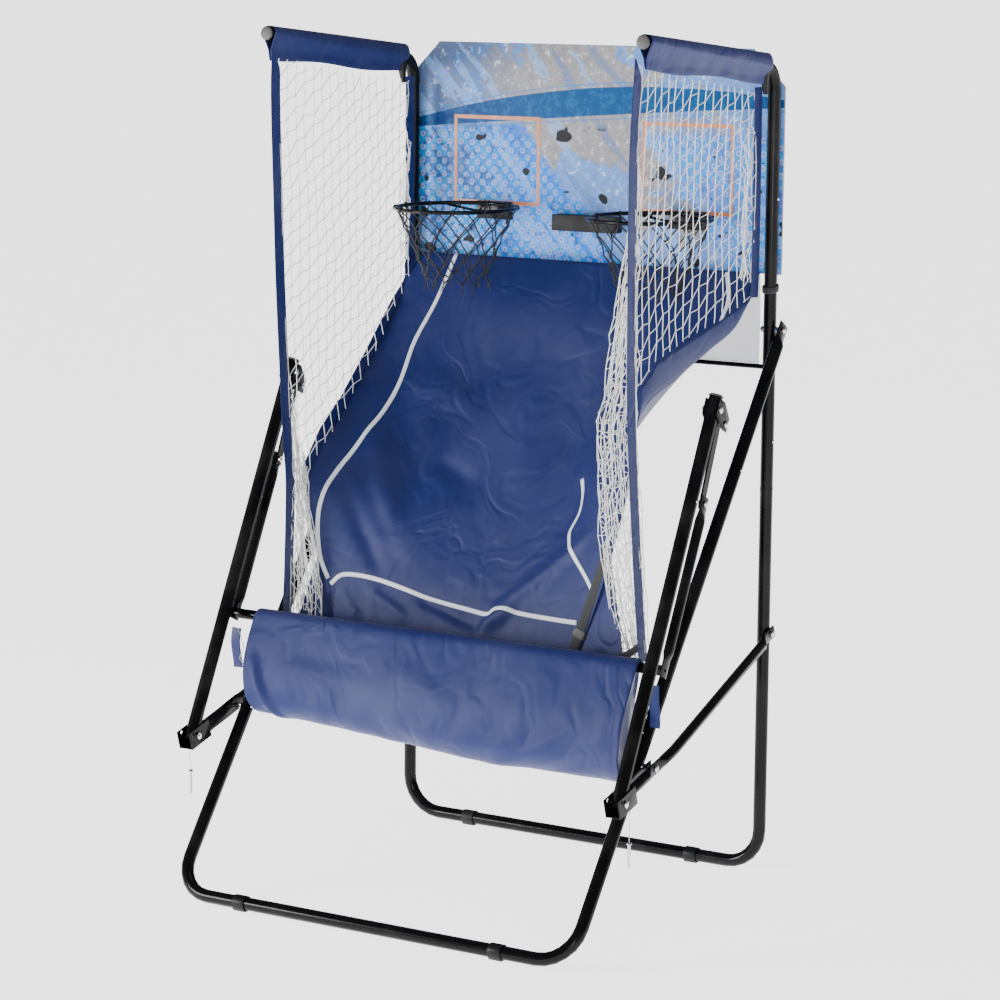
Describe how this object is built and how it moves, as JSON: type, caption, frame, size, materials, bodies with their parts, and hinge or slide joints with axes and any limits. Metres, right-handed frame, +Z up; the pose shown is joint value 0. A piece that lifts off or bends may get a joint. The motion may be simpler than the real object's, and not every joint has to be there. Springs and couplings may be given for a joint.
{
  "type": "folding arcade basketball game",
  "caption": "Folding arcade basketball game: tube stand, backboard with hoops, side nets, cloth ball ramp and a cloth return trough on a folding gate.",
  "frame": {"origin": "centre of the stand's box on the floor", "axes": "+Z up, -Y towards the player, +X to the player's right"},
  "size_m": [1.2492, 1.0192, 2.0669],
  "materials": {
    "black_tube": "gloss black powder coat",
    "zinc": "bright zinc",
    "black_plastic": "moulded, satin",
    "board": "printed board, satin gloss",
    "navy_cloth": "tight woven nylon with a soft sheen",
    "white_net": "knotted white cord net",
    "black_cord": "braided black cord",
    "white_cord": "twisted white cord"
  },
  "bodies": {
    "root": {"rear_floor_bar": "black_tube", "left_upright": "black_tube", "right_upright": "black_tube", "left_top_arm": "black_tube", "right_top_arm": "black_tube", "rear_cross_bar": "black_tube", "backboard": "board", "left_hoop_plate": "black_tube", "right_hoop_plate": "black_tube", "left_hoop_rim": "black_tube", "right_hoop_rim": "black_tube", "left_hoop_net": "black_cord", "right_hoop_net": "black_cord", "scorer_housing": "black_plastic", "left_rear_foot": "black_plastic", "right_rear_foot": "black_plastic", "left_stand_bolt": "zinc", "right_stand_bolt": "zinc", "left_sleeve": "navy_cloth", "right_sleeve": "navy_cloth", "left_side_net": "white_net", "right_side_net": "white_net", "rear_net": "white_net"},
    "front_stand": {"front_floor_bar": "black_tube", "left_leg": "black_tube", "right_leg": "black_tube", "left_front_foot": "black_plastic", "right_front_foot": "black_plastic", "left_bracket": "black_tube", "right_bracket": "black_tube", "left_link_bolt": "zinc", "right_link_bolt": "zinc", "left_arm_bolt": "zinc", "right_arm_bolt": "zinc", "ramp": "navy_cloth", "left_lanyard": "white_cord", "right_lanyard": "white_cord", "left_lock_pin": "zinc", "right_lock_pin": "zinc"},
    "side_links": {"left_side_link": "black_tube", "right_side_link": "black_tube", "left_eye_bolt": "zinc", "right_eye_bolt": "zinc"},
    "folded_arms": {"left_folded_arm": "black_tube", "right_folded_arm": "black_tube", "left_arm_fork": "black_tube", "right_arm_fork": "black_tube", "left_fork_bolt": "zinc", "right_fork_bolt": "zinc", "left_gate_pivot_bolt": "zinc", "right_gate_pivot_bolt": "zinc"},
    "gate": {"left_gate_strut": "black_tube", "right_gate_strut": "black_tube", "left_gate_rail": "black_tube", "right_gate_rail": "black_tube", "left_gate_strut_bolt": "zinc", "right_gate_strut_bolt": "zinc", "trough_bar": "black_tube", "trough": "navy_cloth"}
  },
  "joints": [
    {"name": "stand_fold", "type": "hinge", "parent": "root", "child": "front_stand", "pos_m": [0, 0.4768, 1.3448], "axis": [1, 0, 0], "range_deg": [0, 32]},
    {"name": "link_fold", "type": "hinge", "parent": "front_stand", "child": "side_links", "pos_m": [0, -0.2016, 0.4154], "axis": [1, 0, 0], "range_deg": [0, 32]},
    {"name": "arm_swing", "type": "hinge", "parent": "front_stand", "child": "folded_arms", "pos_m": [0, -0.364, 0.37], "axis": [1, 0, 0], "range_deg": [0, 14]},
    {"name": "gate_swing", "type": "hinge", "parent": "folded_arms", "child": "gate", "pos_m": [0, 0.0778, 1.1722], "axis": [1, 0, 0], "range_deg": [0, 6]}
  ],
  "couplings": [
    {"joint": "link_fold", "follows": "stand_fold", "ratio": 1}
  ]
}
